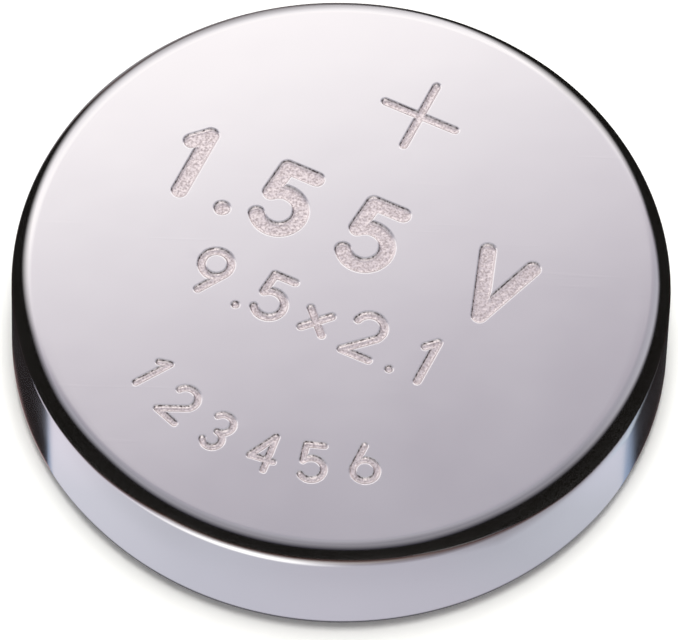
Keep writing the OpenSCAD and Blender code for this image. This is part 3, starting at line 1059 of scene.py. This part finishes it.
# How dense a veil of gauze hangs over the hood's upper edge
GAUZE = [
    (-180, 0), (-80, 0), (-62, 0.15), (-45, 0.34), (-30, 0.46), (0, 0.54), (15, 0.58), (48, 0.54), (62, 0.32),
    (76, 0.17), (90, 0.05), (97, 0), (180, 0),
]
# How wide a thin streak of cool light shows under the hood at both sides
STREAK = [
    (-180, 0), (-88, 0), (-77, 0.8), (-70, 0.8), (-62, 0.6), (-55, 0), (54, 0), (63, 8), (74, 2), (84, 0),
    (180, 0),
]


def between(value, table):
    """Reads a table of (value, result) pairs, with straight runs between them."""
    for (a, low), (b, high) in zip(table, table[1:]):
        if value <= b:
            return low + (high - low) * max(0.0, (value - a) / (b - a))
    return table[-1][1]


print("the hood's upper edge in front stands at", between(0, HOOD_TOP), "degrees")

# %% A band about the shoulder's bend
HOOD_RADIUS = 0.6


def ring_band(name, top, end, fades, rows, material, weight=lambda t: 1.0):
    """A band about the shoulder's bend, between two edges given as angles, that fades in along both."""
    points = []
    solid = []
    around = range(-180, 181)
    for j in range(rows + 1):
        for t in around:
            high, low = top(t), end(t)
            angle = high + (low - high) * j / rows
            a = math.radians(angle)
            r = face_r + HOOD_RADIUS * math.cos(a)
            z = cell_h - shoulder_r + HOOD_RADIUS * math.sin(a)
            x, y = swung((0, -r), t)
            points.append((x * MM, y * MM, z * MM))
            edges = min(1.0, (high - angle) / fades[0](t), (angle - low) / fades[1](t))
            solid.append(edges * weight(t))
    count = len(around)
    faces = []
    for j in range(rows):
        for i in range(count - 1):
            corner = j * count + i
            faces.append((corner, corner + 1, corner + count + 1, corner + count))
    band = stage_object(name, points, faces, material)
    layer = band.data.attributes.new("solid", "FLOAT", "POINT")
    layer.data.foreach_set("value", solid)
    print(name, "has", len(faces), "faces")


def glowing(name, code):
    """A card that glows where its attribute called solid is 1 and is clear where that is 0."""
    material, tree = new_material(name)
    solid = add(tree, "ShaderNodeAttribute", {"attribute_name": "solid"}).outputs["Fac"]
    clear = add(tree, "ShaderNodeBsdfTransparent")
    glow = add(tree, "ShaderNodeEmission", None, {"Color": srgb(code), "Strength": 1.0})
    veil = add(tree, "ShaderNodeMixShader", None, {0: solid, 1: clear.outputs[0], 2: glow.outputs[0]})
    add(tree, "ShaderNodeOutputMaterial", None, {"Surface": veil.outputs[0]})
    return material


# %% Where each band starts and ends
# The gauze ends at an angle over the face and fades in below it, and laps the hood at its other edge
GAUZE_TOP = 107
GAUZE_FADE = 23
GAUZE_LAP = 10
# The hood is black down to this share of the lower fade, and the brown laps it by some degrees
BLACK_SHARE = 0.9
BROWN_LAP = 8
# The streak starts this far under the hood
STREAK_GAP = 1
HOOD_ROWS = 48
EDGE_ROWS = 24
STREAK_ROWS = 8


def at_once(t):
    """An edge that sets in within a degree."""
    return 1.0


def top_fade(t):
    """How many degrees the hood's upper edge takes to set in."""
    return between(t, TOP_FADE)


def end_fade(t):
    """How many degrees the brown edge takes to set in from below."""
    return between(t, END_FADE)


def hood_high(t):
    """Where the hood's upper edge starts to set in."""
    return between(t, HOOD_TOP) + top_fade(t) / 2


def hood_low(t):
    """Where the hood is still black above its brown lower edge."""
    return between(t, HOOD_END) + end_fade(t) * BLACK_SHARE


def streak_top(t):
    """Where the streak starts, just under the hood."""
    return between(t, HOOD_END) - STREAK_GAP


print("in front the hood reaches from", hood_high(0), "down to", round(hood_low(0), 1), "degrees")

# %% Hood, gauze, brown edge and streak
ring_band("black_hood", hood_high, hood_low,
          (top_fade, lambda t: 1 + end_fade(t) / 4), HOOD_ROWS, glowing("black_flock", "#0D0B07"))
ring_band("gauze_veil", lambda t: GAUZE_TOP, lambda t: between(t, HOOD_TOP) - GAUZE_LAP,
          (lambda t: GAUZE_FADE, at_once), EDGE_ROWS, glowing("blue_gauze", "#1A1938"),
          lambda t: between(t, GAUZE))
ring_band("brown_edge", lambda t: hood_low(t) + BROWN_LAP, lambda t: between(t, HOOD_END),
          (at_once, end_fade), EDGE_ROWS, glowing("brown_board", "#48261C"))
ring_band("cool_streak", streak_top, lambda t: streak_top(t) - between(t, STREAK),
          (at_once, at_once), STREAK_ROWS, glowing("cool_card", "#CCD8E6"))

# %% [markdown]
# ## Light
# One soft oval lamp hangs straight over the cell, longer from front to back than from side to side, and
# a plain white surround fills in. Together they light white paper to about white, and the shadow stays
# close to the foot. The lamp's own shape is hidden from the metal, which has its tent to look at.

# %% Lamp over the cell
# Its width, its depth from front to back and its place in metres, and its power in watts
LAMP_WIDTH = 0.06
LAMP_DEPTH = 0.12
LAMP_PLACE = (0.0, -0.003, 0.15)
LAMP_POWER = 0.275
data = bpy.data.lights.new("top_lamp", "AREA")
data.shape = "ELLIPSE"
data.size = LAMP_WIDTH
data.size_y = LAMP_DEPTH
data.energy = LAMP_POWER
lamp = bpy.data.objects.new("top_lamp", data)
lamp.location = LAMP_PLACE
lamp.visible_glossy = False
bpy.context.scene.collection.objects.link(lamp)
print("lamp:", LAMP_POWER, "W, an oval of", LAMP_WIDTH, "by", LAMP_DEPTH, "m")

# %% White surround
# It lights paper a little, and is plain white to the camera, to metal and through glass
SURROUND_LIGHT = 0.12
SURROUND_SEEN = 1.0
world = bpy.data.worlds.new("white_surround")
world.use_nodes = True
world.node_tree.nodes.clear()
ray = add(world.node_tree, "ShaderNodeLightPath").outputs
plain, bright = (
    add(world.node_tree, "ShaderNodeBackground", None, {"Color": srgb("#FFFFFF"), "Strength": strength})
    for strength in (SURROUND_LIGHT, SURROUND_SEEN))
shown = add(world.node_tree, "ShaderNodeMath", {"operation": "MAXIMUM"}, {
    0: ray["Is Camera Ray"], 1: ray["Is Transmission Ray"]})
seen = add(world.node_tree, "ShaderNodeMath", {"operation": "MAXIMUM"}, {
    0: shown.outputs[0], 1: ray["Is Glossy Ray"]})
pick = add(world.node_tree, "ShaderNodeMixShader", None, {
    0: seen.outputs[0], 1: plain.outputs[0], 2: bright.outputs[0]})
add(world.node_tree, "ShaderNodeOutputWorld", None, {"Surface": pick.outputs[0]})
bpy.context.scene.world = world
print("surround:", SURROUND_LIGHT, "as light,", SURROUND_SEEN, "where it is seen")
